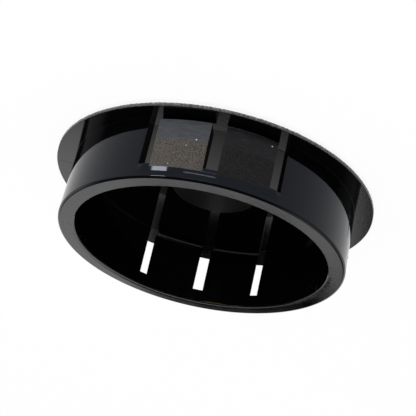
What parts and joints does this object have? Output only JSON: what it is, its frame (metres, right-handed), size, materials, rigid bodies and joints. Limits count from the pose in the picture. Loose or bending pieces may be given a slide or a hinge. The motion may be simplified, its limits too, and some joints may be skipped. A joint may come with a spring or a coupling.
{
  "type": "hole plug",
  "caption": "Round snap-in plug that closes a hole in a panel: a thin flanged cap with a short skirt and outward-bulging locking tongues.",
  "frame": {"origin": "centre of the cap's flat outer face", "axes": "+Z along the plug's axis, from the cap to the open end of the skirt; +Y and -Y through the middle slots of the two windows; +X and -X through the moulding's parting line"},
  "size_m": [0.057, 0.057, 0.013],
  "materials": {
    "body": "glossy moulded black, matt spark-eroded texture on the locking ramps"
  },
  "bodies": {
    "root": {"hole_plug": "body"}
  },
  "joints": []
}
